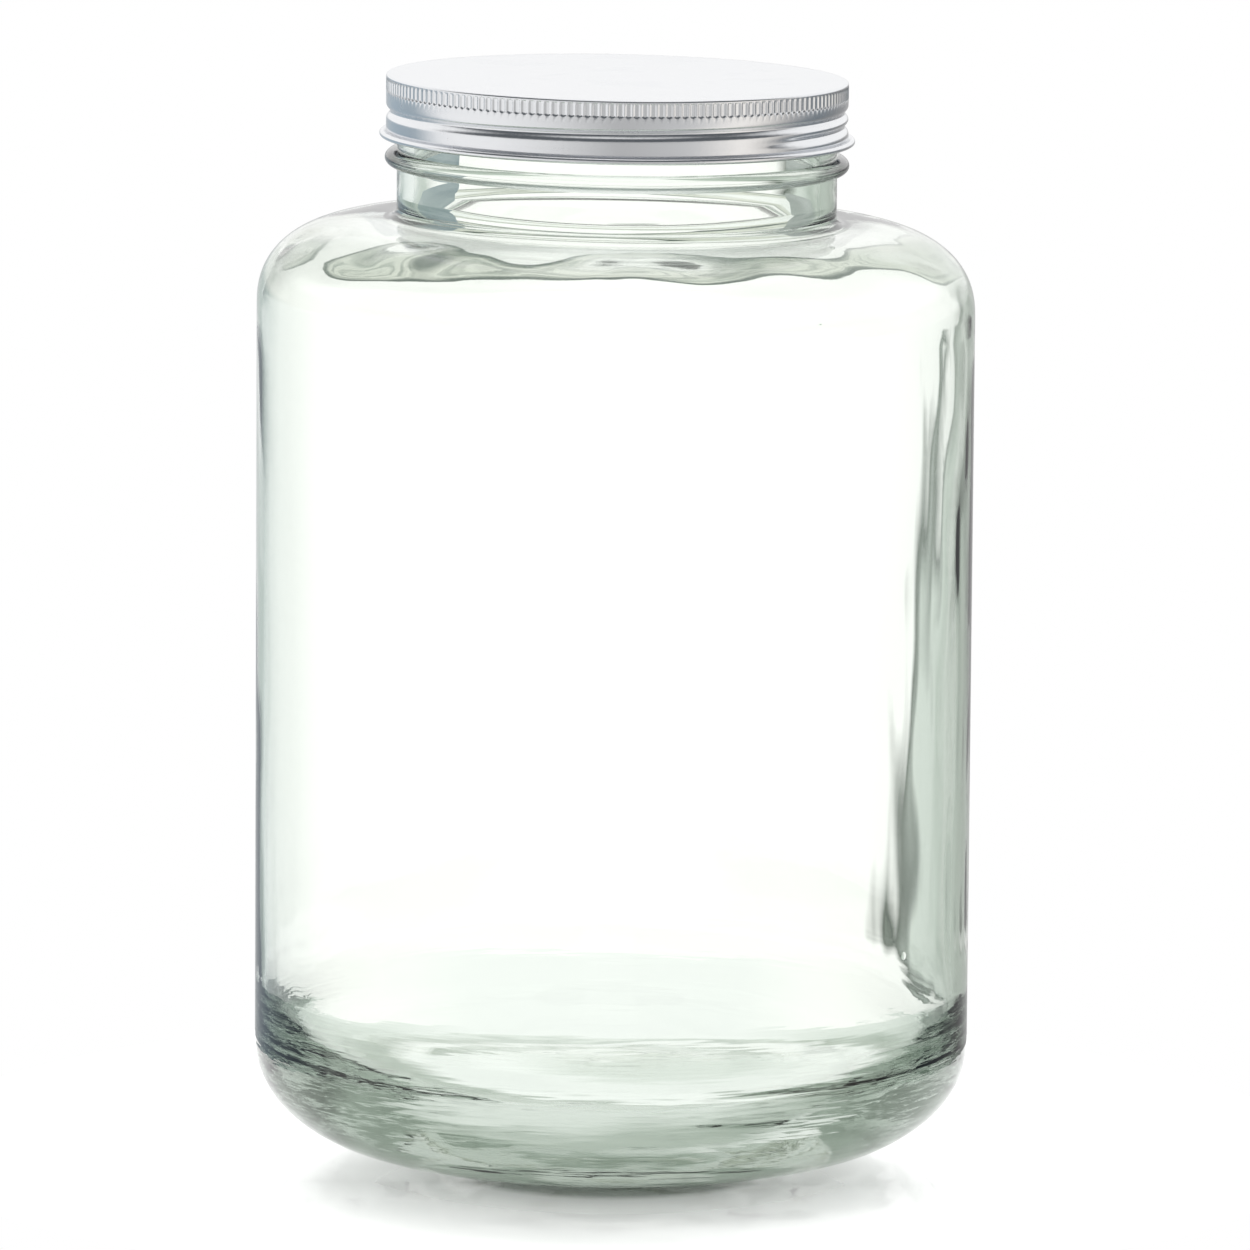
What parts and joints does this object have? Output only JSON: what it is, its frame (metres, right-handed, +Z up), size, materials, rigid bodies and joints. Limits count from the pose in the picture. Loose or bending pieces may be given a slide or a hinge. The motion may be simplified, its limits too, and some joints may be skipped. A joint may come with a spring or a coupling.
{
  "type": "glass storage jar with screw lid",
  "caption": "Wide-mouthed clear glass storage jar with a rounded shoulder and heel, beaded neck and ribbed aluminium screw lid, empty and shut.",
  "frame": {"origin": "centre of the base, on the plane the jar stands on", "axes": "+Z up to the lid; the pictured front faces -Y; the mouth drops slightly towards +X"},
  "size_m": [0.1716, 0.1716, 0.259],
  "materials": {
    "clear_glass": "clear glass with a faint green tint, gloss",
    "satin_aluminium": "satin rolled sheet"
  },
  "bodies": {
    "root": {"glass_jar": "clear_glass", "screw_lid": "satin_aluminium"}
  },
  "joints": []
}
